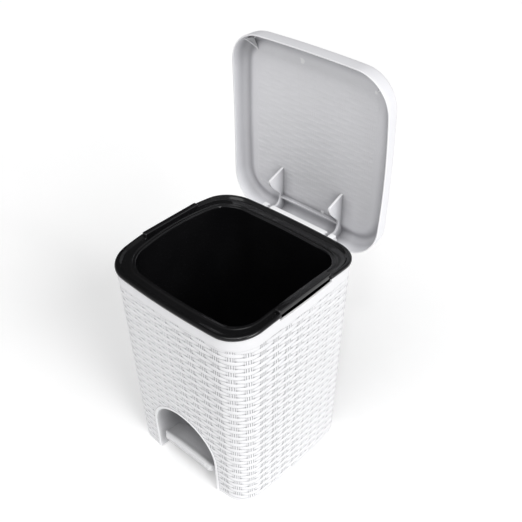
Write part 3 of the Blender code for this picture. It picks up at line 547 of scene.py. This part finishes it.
def make_body():
    t = weave_t()
    rings = []
    # bottom edge, slightly rounded
    levels = [(BOTTOM_Z, -0.5), (BOTTOM_Z + 0.15, -0.15), (BOTTOM_Z + 0.6, 0.0), (3.2, 0.0)]
    rows = []
    z = WEAVE_Z + WEAVE_ROW / 2 - 47 * WEAVE_ROW
    while z < 279.0:
        rows += [z + f * WEAVE_ROW for f in (0.0, 0.10, 0.25, 0.5, 0.75, 0.90)]
        z += WEAVE_ROW
    rows = [z for z in rows if 3.8 < z < 280.0]
    rows += list(np.arange(280.4, 292.0, 0.45)) + list(np.arange(5.2, 8.8, 0.3))
    rows = sorted(rows)
    levels += [(z, 0.0) for z in rows]

    def flat(p, z, t):
        """Where the relief fades: 0 plain, 1 woven."""
        w, d, r, b = body_size(z)
        side = np.maximum(0, 1 - (p[:, 1] / (d / 2)) ** 2)
        zc = COLLAR_Z + 0.58 * SIDE_ARCH * side
        m = sstep((zc - 0.9 - z) / 0.8)
        m *= sstep((z - 7.7) / 0.8)
        front = p[:, 1] < -60
        dx, dz = np.abs(p[:, 0]), z
        dist = np.where(dz > SPRING_Z, np.hypot(dx, dz - SPRING_Z), dx) - (ARCH_W + BORDER)
        clear = np.where(front, sstep((dist - 0.4) / 0.9), 1.0)
        m *= clear
        rear = (p[:, 1] > 60) & (z > 253)
        m *= np.where(rear, sstep((np.abs(p[:, 0]) - 62.5) / 1.5), 1.0)
        return m, sstep((z - zc) / 0.7), -0.75 * math.exp(-((z - 6.9) / 0.42) ** 2) * clear

    for z, grow in levels:
        w, d, r, b = body_size(z)
        p = corner_outline(w, d, r, b, b, t)
        e = 0.05
        q = corner_outline(w + 2 * e, d + 2 * e, r + e, b, b, t)
        n = (q - p) / e
        m, col, line = flat(p, z, t)
        h = weave(t * WEAVE_COLS + 0.5, z, 21.0) if z > 3.9 else np.zeros(len(t))
        h = h * m + COLLAR_PROUD * col + line + grow
        p = p + n * h[:, None]
        rings.append(np.stack([p[:, 0], p[:, 1], np.full(len(t), z)], 1))
    # collar up to the arched, rounded top edge
    def collar(grow, share, drop):
        w, d, r, b = body_size(EDGE_Z)
        w0, d0, r0, b0 = body_size(292.0)
        w, d, r, b = lerp(w0, w, share), lerp(d0, d, share), lerp(r0, r, share), lerp(b0, b, share)
        p = corner_outline(w + 2 * grow, d + 2 * grow, r + grow, b, b, t)
        top = EDGE_Z - drop + SIDE_ARCH * np.maximum(0, 1 - (p[:, 1] / (TOP_D / 2)) ** 2)
        return np.stack([p[:, 0], p[:, 1], 292.0 + (top - 292.0) * share], 1)
    for share in (0.2, 0.45, 0.7, 0.9):
        rings.append(collar(COLLAR_PROUD, share, 0.6))
    rings += [collar(COLLAR_PROUD, 1.0, 0.55), collar(COLLAR_PROUD - 0.18, 1.0, 0.16), collar(COLLAR_PROUD - 0.6, 1.0, 0.0),
              collar(COLLAR_PROUD - 1.6, 1.0, 0.0), collar(-WALL + COLLAR_PROUD, 1.0, 0.3)]
    for z in (285.0, 270.0, 200.0, 120.0, 60.0, 20.0, 2.0, BOTTOM_Z + 0.3, BOTTOM_Z):
        w, d, r, b = body_size(z)
        g = WALL + (0.4 if z <= BOTTOM_Z else 0.0)
        p = corner_outline(w - 2 * g, d - 2 * g, r - g, b, b, t)
        rings.append(np.stack([p[:, 0], p[:, 1], np.full(len(t), z)], 1))
    ob = skin("body_woven", rings, BODY_MAT, closed=True)

    w = 2.0
    shell = skin("t1", [
        arch_section(ARCH_W + w, SPRING_Z, BOTTOM_Z, lambda x, z: front_y(x, z) + 1.0),
        arch_section(55.8, 50.5, BOTTOM_Z, lambda x, z: -66.0),
        arch_section(53.0, 48.5, BOTTOM_Z, lambda x, z: -55.0),
        arch_section(49.0, 46.0, BOTTOM_Z, lambda x, z: NICHE_Y + w)])
    bd = [(BORDER, 1.2), (BORDER, -0.35), (BORDER - 0.35, -0.72), (BORDER - 0.9, -BORDER_PROUD), (1.2, -BORDER_PROUD)]
    border = skin("t2", [arch_section(ARCH_W + g, SPRING_Z, BOTTOM_Z, (lambda o: lambda x, z: front_y(x, z) + o)(o))
                         for g, o in bd])
    hollow = skin("t3", [
        arch_section(ARCH_W + 1.6, SPRING_Z + 0.4, -8.0, lambda x, z: -125.0),
        arch_section(ARCH_W + 1.1, SPRING_Z + 0.4, -8.0, lambda x, z: front_y(x, max(z, 0)) - BORDER_PROUD),
        arch_section(ARCH_W + 0.3, SPRING_Z + 0.3, -8.0, lambda x, z: front_y(x, max(z, 0)) - BORDER_PROUD + 0.5),
        arch_section(ARCH_W, SPRING_Z + 0.2, -8.0, lambda x, z: front_y(x, max(z, 0)) + 0.6),
        arch_section(53.8, 50.5, -8.0, lambda x, z: -68.0),
        arch_section(52.6, 49.6, -8.0, lambda x, z: -61.5),
        arch_section(50.6, 48.2, -8.0, lambda x, z: -56.8),
        arch_section(46.0, 45.0, -8.0, lambda x, z: NICHE_Y)])
    slot = block("t4", (-34, -60, -8), (34, -44, 54.5))
    outer = [(112.5, 258.0), (115.6, 262.0), (121.0, 276.0)] + arc(HY, HZ, 7.4, -60, 44, 14) + \
            [(127.7, 299.6), (127.2, 302.4), (118.3, 302.4), (118.3, 300.0), (112.5, 299.6)]
    housing = prism("t5", outer, -61, 61, edge=0.5)
    inner = [(104.0, 262.0), (113.4, 266.0), (119.0, 277.6)] + arc(HY, HZ, 5.8, -56, 40, 12) + \
            [(125.5, 300.4), (117.0, 300.4), (117.0, 312.0), (104.0, 312.0)]
    room = prism("t6", inner, -59, 59)
    lug = [(119.6, 282.0), (121.0, 279.0)] + arc(HY, HZ, 6.6, -60, 40, 10) + [(126.3, 301.4), (119.6, 301.4)]
    lugs, slots, bores, notches, bosses, screws = [], [], [], [], [], []
    for side in (-1, 1):
        for xa, xb in ((42.9, 46.7), (53.3, 57.1)):
            lo, hi = sorted((side * xa, side * xb))
            lugs.append(prism("t", lug, lo, hi))
        lo, hi = sorted((side * 46.7, side * 53.3))
        slots.append(block("t", (lo, 110.0, 279.5), (hi, 136.0, 312.0)))
        lo, hi = sorted((side * 41.0, side * 58.2))
        bores.append(rod("t", PIN_R + 0.3, lo, hi, HY, HZ))
        lo, hi = sorted((side * 108.0, side * 125.0))
        notches.append(block("t", (lo, -GRIP_L - 0.5, 304.0), (hi, GRIP_L + 0.5, 320.0), edge=1.2))
        for sy in (-1, 1):
            x, y = side * 91.5, sy * 86.5
            bosses.append(turned("t", [(7.3, 6.3), (7.3, 20.7)], x, y))
            screws.append(turned("t", [(1.95, 4.0), (1.95, 18.0)], x, y, n=20))
    steps = [('+', shell), ('+', border), ('+', housing), ('-', hollow), ('-', slot), ('-', room),
             ('+', merged("t", lugs)), ('-', merged("t", slots)), ('-', merged("t", bores)),
             ('-', merged("t", notches)), ('+', merged("t", bosses)), ('-', merged("t", screws))]
    return build(ob, steps, 48)


# ---------------------------------------------------------------------- bucket
def make_bucket():
    A = SIDE_ARCH
    z0 = BK_Z0

    def at(inset, z, arch=1.0):
        k = inset / ((RIM_W - BK_TW) / 2)
        d = RIM_D - 2 * inset - k * ((RIM_D - BK_TD) - (RIM_W - BK_TW))
        return ring(RIM_W - 2 * inset, d, lerp(RIM_R, BK_TR, k), RIM_BOW, RIM_BOW, z, arch * A)

    def wall(t, z, arch=0.0, inset=0.0):
        w, d, r = lerp(BK_BW, BK_TW, t), lerp(BK_BD, BK_TD, t), lerp(BK_BR, BK_TR, t)
        return ring(w - 2 * inset, d - 2 * inset, r - inset, RIM_BOW, RIM_BOW, z, arch * A)

    th = BK_WALL
    rings = [
        wall(0, z0, 0, 2.4), wall(0, z0 + 0.3, 0, 1.0), wall(0, z0 + 1.0, 0, 0.3), wall(0, z0 + 2.0),
        wall(0.3, lerp(z0, 298, 0.3)), wall(0.80, lerp(z0, 298, 0.80)),
        wall(0.995, 298.0, 1.0),
        at(13.5, 299.0), at(4.8, 299.4), at(4.5, 300.6), at(1.6, 300.6), at(0.7, 300.9), at(0.2, 301.6),
        at(0.0, 302.6), at(0.05, 303.6), at(0.4, 304.6), at(1.0, 305.4), at(1.8, 305.9), at(2.6, 306.1),
        at(3.4, 306.0), at(4.1, 305.6), at(4.8, 304.9), at(5.4, 304.0), at(6.0, 303.2), at(6.8, 302.7),
        at(9.5, 302.4), at(12.2, 302.2), at(12.8, 302.5), at(13.3, 303.0), at(13.9, 303.2), at(14.5, 303.0),
        at(15.0, 302.4), at(15.5, 302.0), at(16.4, 302.0), at(17.0, 301.8), at(17.6, 301.2),
        wall(0.99, 298.6, 1.0, th),
        wall(0.80, lerp(z0, 298, 0.80), 0, th), wall(0.3, lerp(z0, 298, 0.3), 0, th),
        wall(0.03, z0 + th + 6.0, 0, th), wall(0.02, z0 + th + 3.2, 0, th + 0.5), wall(0.01, z0 + th + 1.2, 0, th + 1.8),
        wall(0, z0 + th + 0.2, 0, th + 4.0), wall(0, z0 + th, 0, th + 7.0)]
    ob = skin("bucket_moulded", rings, BLACK_MAT)

    def inside(z, inset):
        return wall((z - z0) / (298 - z0), z, 0, inset)
    sk = skin("t", [inside(z0, 0.4), inside(STEP_Z + th, 0.4)])
    keep = block("t", (-118, -128, 50), (118, STEP_Y + th, STEP_Z + th))
    away = block("t", (-130, -140, 30), (130, STEP_Y, STEP_Z))
    sk = build(sk, [('&', keep), ('-', away)])
    gaps, grips = [], []
    for side in (-1, 1):
        lo, hi = sorted((side * 112.6, side * 126.0))
        gaps.append(block("t", (lo, -GRIP_L + 0.7, 296.0), (hi, GRIP_L - 0.7, 330.0), edge=0.8))
        lo, hi = sorted((side * GRIP_IN, side * GRIP_OUT))
        grips.append(block("t", (lo, -GRIP_L, GRIP_UNDER), (hi, GRIP_L, GRIP_TOP), edge=1.7, segs=5))
    cut_step = block("t", (-120, -130, 40), (120, STEP_Y, STEP_Z))
    return build(ob, [('-', cut_step), ('+', sk), ('-', merged("t", gaps)), ('+', merged("t", grips))], 42)


# ------------------------------------------------------------------------- lid
def make_lid():
    def rg(inset, z, arch=0.0):
        return ring(LID_W - 2 * inset, LID_D - 2 * inset, max(LID_R - inset, 20), LID_BOW, LID_BOW, z, arch,
                    cy=LID_CY, half=LID_D / 2)
    A = LIP_ARCH
    rings = [
        rg(70, 320.0), rg(34, 320.0), rg(27.2, 320.0), rg(26.8, 322.2), rg(24.5, 322.3), rg(22.4, 322.5), rg(20.9, 323.0), rg(19.5, 323.8), rg(18.2, 324.35),
        rg(16.6, 324.7), rg(14.4, 324.85), rg(12.0, 324.75), rg(9.5, 324.35), rg(7.5, 323.8), rg(5.8, 323.0), rg(4.2, 321.9),
        rg(2.8, 320.4), rg(1.6, 318.4), rg(0.8, 316.0), rg(0.4, 312.8),
        rg(0.2, 305.0, 0.5 * A), rg(0.0, LIP_Z + 1.2, A), rg(0.05, LIP_Z + 0.5, A), rg(0.4, LIP_Z + 0.05, A),
        rg(0.95, LIP_Z - 0.0, A), rg(1.5, LIP_Z + 0.05, A), rg(1.9, LIP_Z + 0.5, A), rg(2.0, LIP_Z + 1.4, A),
        rg(2.1, 306.0, 0.45 * A), rg(2.2, 313.0), rg(2.5, 316.4), rg(3.2, 318.6), rg(4.4, 320.4), rg(6.0, 321.6),
        rg(7.6, 322.15), rg(9.0, 322.3), rg(10.4, 322.15), rg(12.0, 321.7), rg(14.0, 320.85), rg(16.5, 319.9),
        rg(19.0, 319.25), rg(21.5, 318.95), rg(24.0, 318.9), rg(30.0, 318.9), rg(70, 318.9)]
    ob = skin("lid_moulded", rings, LID_MAT, lid=True)

    # woven panel: relief on the outside and a faint print of it on the inside
    nx, ny = 420, 420
    hx, hy = 100.0, 103.0
    X = np.linspace(-hx, hx, nx)
    Y = np.linspace(-hy, hy, ny)
    gx, gy = np.meshgrid(X, Y)
    r = 22.5
    ax, ay = np.abs(gx) - (96.1 - r), np.abs(gy) - (99.85 - r)
    inside = r - np.hypot(np.maximum(ax, 0), np.maximum(ay, 0)) - np.minimum(np.maximum(ax, ay), 0)
    m = sstep((inside - 1.6) / 1.2)                         # plain at the border
    h = weave(gx / 21.0, gy + WEAVE_Z, 21.0)
    co_top = np.stack([gx, gy + LID_CY, 322.3 + m * (0.1 + 0.85 * (h - 0.3))], -1).reshape(-1, 3)
    co_bot = np.stack([gx, gy + LID_CY, 318.95 + m * (0.22 * h - 0.15)], -1).reshape(-1, 3)
    n = nx * ny
    idx = np.arange(n).reshape(ny, nx)
    a, b, c, d = idx[:-1, :-1], idx[:-1, 1:], idx[1:, 1:], idx[1:, :-1]
    top = np.stack([a, b, c, d], -1).reshape(-1, 4)
    bot = np.stack([a, d, c, b], -1).reshape(-1, 4) + n
    rim = np.concatenate([idx[0, :], idx[1:, -1], idx[-1, :-1][::-1], idx[1:-1, 0][::-1]])
    nxt = np.roll(rim, -1)
    wall = np.stack([rim, rim + n, nxt + n, nxt], 1)
    faces = np.concatenate([top, bot, wall]).tolist()
    panel = face_out(new_object("t", np.concatenate([co_top, co_bot]), faces, None, True))
    plan_t = skin("t", [ring(LID_W - 52, LID_D - 52, 22.5, LID_BOW, LID_BOW, z, 0, cy=LID_CY) for z in (315.0, 330.0)], lid=True)
    panel = build(panel, [('&', plan_t)])

    fin = [(63.4, 320.4), (64.4, 318.8), (73.4, 294.6)] + arc(77.2, 295.8, 4.0, 198, 300, 10) + \
          [(84.0, 294.9), (101.8, 312.0), (104.5, 312.9), (107.0, 313.2), (110.0, 313.1), (113.0, 312.3), (115.2, 311.3),
           (116.6, 310.2), (117.7, 308.8), (118.4, 307.0), (118.7, 299.0),
           (118.9, 292.0), (127.4, 292.0), (127.8, 297.0), (128.6, 298.4), (130.6, 300.0), (130.7, 304.0), (130.4, 308.0),
           (130.2, 313.0), (129.6, 316.5), (128.6, 319.2), (127.0, 321.2), (124.5, 322.5), (121.0, 323.0),
           (116.0, 322.4), (111.0, 320.4)]
    fork_out = 8.8
    u = (-math.sqrt(0.5), -math.sqrt(0.5))
    v = (math.sqrt(0.5), -math.sqrt(0.5))
    hw, sw = 3.65, 2.05

    def fp(p, q):
        return (HY + p * u[0] + q * v[0], HZ + p * u[1] + q * v[1])
    foot = [fp(0, -hw), fp(fork_out, -hw), fp(fork_out, -sw), fp(3.9, -sw), fp(3.9, sw),
            fp(fork_out, sw), fp(fork_out, hw), fp(0, hw)]
    fslot = [fp(3.85, -sw), fp(14.0, -sw), fp(14.0, sw), fp(3.85, sw)]
    fins, bosses, forks, slots, bores = [], [], [], [], []
    for side in (-1, 1):
        x = side * ARM_X
        fins.append(prism("t", fin, x - ARM_T / 2, x + ARM_T / 2, lid=True, edge=0.45))
        bosses.append(rod("t", BOSS_R, x - FOOT_T / 2, x + FOOT_T / 2, HY, HZ, lid=True, edge=0.3))
        forks.append(prism("t", foot, x - FOOT_T / 2, x + FOOT_T / 2, lid=True))
        slots.append(prism("t", fslot, x - 6.0, x + 6.0, lid=True))
        bores.append(rod("t", PIN_R + 0.35, x - 4.6, x + 4.6, HY, HZ, lid=True))
    rib = block("t", (-ARM_X, 107.2, 313.2), (ARM_X, 109.0, 320.4), lid=True, edge=0.3)
    gus = [(25.0, 318.7), (30.0, 316.9), (35.0, 314.6), (39.5, 311.7), (43.0, 309.1), (44.3, 308.0), (45.0, 308.0),
           (44.9, 312.0), (44.3, 316.0), (43.9, 318.0), (43.2, 319.2), (42.2, 320.5), (40.8, 321.8), (38.9, 322.7),
           (37.0, 323.0), (32.5, 322.4), (26.0, 320.4)]
    gussets = []
    for side in (-1, 1):
        cx, cy = side * (LID_W / 2 - LID_R), LID_CY - LID_D / 2 + LID_R
        co, k = [], math.sqrt(0.5)
        for off in (-0.8, 0.8):
            co += [(cx + side * k * s + off * k * side, cy - k * s + off * k, z) for s, z in gus]
        m = len(gus)
        faces = [[i, (i + 1) % m, m + (i + 1) % m, m + i] for i in range(m)] + [list(range(m))[::-1], list(range(m, 2 * m))]
        gussets.append(round_edges(face_out(new_object("t", co, faces, None, True)), 0.25, 2))
    steps = [('+', panel), ('+', merged("t", fins)), ('+', merged("t", bosses)), ('+', merged("t", forks)),
             ('-', merged("t", slots)), ('-', merged("t", bores)), ('+', rib), ('+', merged("t", gussets))]
    return build(ob, steps, 48)


# ----------------------------------------------------------------------- pedal
def make_pedal():
    outer = [(-104.0, 31.5), (-104.5, 31.75), (-104.85, 32.3), (-105.0, 33.2), (-105.0, 37.9), (-104.85, 39.1), (-104.4, 40.2),
             (-103.7, 41.1), (-102.8, 41.8), (-101.7, 42.3), (-100.4, 42.5), (-99.0, 42.3), (-97.4, 41.8), (-95.6, 41.3),
             (-93.4, 41.0), (-88.0, 40.6), (-80.0, 40.3), (-73.6, 40.0), (-72.5, 39.7), (-71.7, 39.0), (-71.3, 38.0),
             (-71.2, 32.2), (-71.5, 31.7), (-72.0, 31.5)]
    inner = [(-102.0, 20.0), (-102.0, 38.0), (-101.6, 38.9), (-101.0, 39.3), (-99.6, 39.4), (-97.6, 38.8), (-95.0, 38.0),
             (-88.0, 37.5), (-76.0, 37.1), (-74.8, 36.7), (-74.2, 35.8), (-74.2, 20.0)]
    r, mid, half = 9.0, -88.0, 17.2

    def crowned(section, rolled):
        p = np.array(section + section[:1])
        d = np.concatenate([[0], np.cumsum(np.hypot(*np.diff(p, axis=0).T))])
        q = np.linspace(0, d[-1], 200)[:-1]
        py, pz = np.interp(q, d, p[:, 0]), np.interp(q, d, p[:, 1])
        xs = np.linspace(-TREAD - 0.5, TREAD + 0.5, 200)
        gx, gy = np.meshgrid(xs, py, indexing='ij')
        gz = np.broadcast_to(pz, gx.shape).copy()
        if rolled:                                          # the upper edges are rolled over at both ends
            dy = np.clip(np.abs(gy - mid) - (half - r), 0, r)
            inside = TREAD - r + np.sqrt(r * r - dy * dy) - np.abs(gx)
            e = np.clip(inside / 3.6, 0, 1)
            lower = 3.2 * (1 - np.sqrt(np.clip(1 - (1 - e) ** 2, 0, 1)))
            gz -= np.where(gz > 33.5, lower * np.clip((gz - 33.5) / 4.0, 0, 1), 0)
        gz -= (3.0 + 3.0 * sstep((gy + 101.0) / 13.0)) * (np.abs(gx) / TREAD) ** 2.5
        return [np.stack([gx[i], gy[i], gz[i]], 1) for i in range(len(xs))]

    def plan(grow):
        t = T_FINE
        rings = []
        for z in (10.0, 60.0):
            p = corner_outline(2 * (TREAD + grow), 2 * (half + grow), r + grow, 0.3, 0.4, t)
            rings.append(np.stack([p[:, 0], p[:, 1] + mid, np.full(len(t), z)], 1))
        return skin("t", rings)
    pocket = build(skin("t", crowned(inner, False)), [('&', plan(-3.0))])
    ob = skin("pedal_moulded", crowned(outer, True), PEDAL_MAT)
    arms = []
    for side in (-1, 1):
        arm = [(-101.4, 32.5), (-101.4, 37.0), (-74.0, 36.8), (-69.0, 29.5), (-46.0, 28.5), (-8.0, 27.0), (8.0, 27.5),
               (8.0, 17.0), (-2.0, 15.6), (-64.0, 22.0), (-74.0, 30.0)]
        lo, hi = sorted((side * 24.0, side * 28.0))
        arms.append(prism("t", arm, lo, hi, edge=0.4))
    hub = rod("t", 6.0, -31.0, 31.0, PY, PZ, edge=0.5)
    tail = [(10.0, 17.0), (10.0, 26.0), (30.0, 29.0), (92.0, 30.2), (103.2, 30.2), (103.2, 26.2), (92.0, 25.2), (30.0, 17.4)]
    tail = prism("t", tail, -8.0, 8.0, edge=0.5)
    bore = rod("t", AXLE_R + 0.35, -40.0, 40.0, PY, PZ)
    fork = block("t", (-3.2, 97.6, 14.0), (3.2, 113.0, 42.0))
    return build(ob, [('&', plan(0.0)), ('-', pocket), ('+', merged("t", arms)), ('+', hub), ('+', tail), ('-', bore), ('-', fork)], 35)


# ----------------------------------------------------------------- small parts
def make_feet():
    """Rubber feet: a rounded edge and a ring groove underneath."""
    for sx in (-1, 1):
        for sy, fy in (("front", -66.0), ("rear", 74.0)):
            name = "foot_" + sy + ("_right" if sx > 0 else "_left")
            prof = [(0.01, 0.9), (2.4, 0.9), (2.9, 0.5), (3.3, 0.1), (3.8, 0.0), (7.6, 0.0), (8.3, 0.15), (8.8, 0.6),
                    (8.95, 1.1), (8.9, 1.7), (8.4, 2.7), (0.01, 2.7)]
            ob = turned(name.replace("foot", "rubber_foot"), prof, sx * 78.0, fy, RUBBER_MAT, 56)
            smooth(ob, 40)
            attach(ob, "body")
            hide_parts(name)


def make_screws():
    """Pan-head screws with a cross recess."""
    for sx in (-1, 1):
        for sy, tag in ((-1, "front"), (1, "rear")):
            name = "base_screw_" + tag + ("_right" if sx > 0 else "_left")
            x, y = sx * 91.5, sy * 86.5
            prof = [(0.01, 1.1), (2.0, 1.12), (3.0, 1.3), (3.6, 1.7), (3.8, 2.2), (3.8, 2.7), (1.6, 2.7)]
            z = 2.9
            while z < 15.2:                                  # thread
                prof += [(1.30, z), (1.60, z + 0.35), (1.60, z + 0.45), (1.30, z + 0.8)]
                z += 0.9
            prof += [(0.6, 15.9), (0.01, 16.0)]
            ob = turned("steel_" + name, prof, x, y, STEEL_Z, 32)
            a = block("t", (x - 2.2, y - 0.45, 0.0), (x + 2.2, y + 0.45, 2.1))
            b = block("t", (x - 0.45, y - 2.2, 0.0), (x + 0.45, y + 2.2, 2.1))
            build(ob, [('-', a), ('-', b)], 30)
            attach(ob, "body")
            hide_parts(name)


for maker, node, body, slot_name in (
        (make_body, "outer_body", "body", "white_body"), (make_bucket, "inner_bucket", "bucket", "black_bucket"),
        (make_lid, "lid", "lid", "white_lid"), (make_pedal, "foot_pedal", "pedal", "white_pedal")):
    piece = maker()
    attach(piece, body)
    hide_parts(node)
make_feet()
make_screws()

for n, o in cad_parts.items():
    if o.hide_render:
        continue
    mat = {"base_plate": BASE_MAT, "push_rod": STEEL_Z, "pedal_axle": STEEL_X}.get(n)
    if mat is None:
        mat = GREY_MAT if n.startswith("rod_") or n == "lift_yoke" else STEEL_X
    for s in o.material_slots:
        s.link = 'DATA'
        s.material = mat

# ----------------------------------------------------------------------- stage
floor_mat, nt, b = nodes_of("studio_floor")
fvec = object_coords(nt)
nt.links.new(ramp(nt, noise(nt, fvec, 3.0, 3.0), [(0.3, (0.94, 0.94, 0.94)), (0.7, (0.96, 0.96, 0.96))]).outputs["Color"],
             b.inputs["Base Color"])
b.inputs["Roughness"].default_value = 0.9
b.inputs["Specular IOR Level"].default_value = 0.1
b.inputs["Emission Color"].default_value = (1.0, 1.0, 1.0, 1.0)
b.inputs["Emission Strength"].default_value = 0.16
me = bpy.data.meshes.new("floor")
me.from_pydata([(-12, -12, -0.0004), (12, -12, -0.0004), (12, 12, -0.0004), (-12, 12, -0.0004)], [], [(0, 1, 2, 3)])
floor = bpy.data.objects.new("floor", me)
me.materials.append(floor_mat)
bpy.context.scene.collection.objects.link(floor)

world = bpy.data.worlds.new("studio")
bpy.context.scene.world = world
world.use_nodes = True
wt = world.node_tree
bg = wt.nodes["Background"]
tc = wt.nodes.new("ShaderNodeTexCoord")
sep = wt.nodes.new("ShaderNodeSeparateXYZ")
wt.links.new(tc.outputs["Generated"], sep.inputs["Vector"])
sky = ramp(wt, remap(wt, sep.outputs["Z"], 0.0, 1.0, -0.1, 1.0), [(0.0, (0.28, 0.28, 0.285)), (1.0, (0.68, 0.68, 0.68))])
wt.links.new(sky.outputs["Color"], bg.inputs["Color"])
# a black flag stands behind and to the left of the can
flag = wt.nodes.new("ShaderNodeVectorMath")
flag.operation = 'DOT_PRODUCT'
wt.links.new(tc.outputs["Generated"], flag.inputs[0])
flag.inputs[1].default_value = (-0.53, 0.577, 0.62)
wt.links.new(remap(wt, flag.outputs["Value"], 0.84, 0.16, 0.50, 0.80), bg.inputs["Strength"])


def sun(name, towards, strength, spread):
    """A soft parallel light from the direction of towards; spread is its angular width in degrees."""
    li = bpy.data.lights.new(name, 'SUN')
    li.energy = strength
    li.angle = math.radians(spread)
    o = bpy.data.objects.new(name, li)
    bpy.context.scene.collection.objects.link(o)
    o.location = Vector(towards) * 3
    o.rotation_mode = 'QUATERNION'
    o.rotation_quaternion = Vector(towards).to_track_quat('Z', 'Y')
    return o


sun("top_softbox", (0.10, -0.40, 1.0), 0.26 * math.pi, 40)
sun("key_softbox", (0.85, -0.14, 0.55), 0.54 * math.pi, 30)
sun("strip_light", (0.42, -0.62, 0.95), 0.07 * math.pi, 5)

scene = bpy.context.scene
scene.view_settings.view_transform = 'Standard'
scene.view_settings.look = 'None'
scene.view_settings.exposure = 0.0
scene.view_settings.gamma = 1.0

# camera: fitted to the object's outline
a, e, roll = math.radians(42.57), math.radians(38.35), math.radians(-0.68)
back = Vector((math.sin(a) * math.cos(e), -math.cos(a) * math.cos(e), math.sin(e)))
right = Vector((math.cos(a), math.sin(a), 0))
up = back.cross(right)
r2 = right * math.cos(roll) + up * math.sin(roll)
u2 = -right * math.sin(roll) + up * math.cos(roll)
cam_data = bpy.data.cameras.new("camera")
cam = bpy.data.objects.new("camera", cam_data)
scene.collection.objects.link(cam)
cam_data.sensor_width = 36.0
cam_data.lens = 798.85 * 36.0 / 522.0
cam_data.shift_x = (261.0 - 260.33) / 522.0
cam_data.shift_y = (275.0 - 261.0) / 522.0
cam_data.clip_start, cam_data.clip_end = 0.02, 60.0
target = Vector((-29.3, 80.47 + FRAME_Y, 218.11)) * MM
cam.rotation_mode = 'QUATERNION'
cam.rotation_quaternion = Matrix((r2, u2, back)).transposed().to_quaternion()
cam.location = target + back * 1.10349
scene.camera = cam
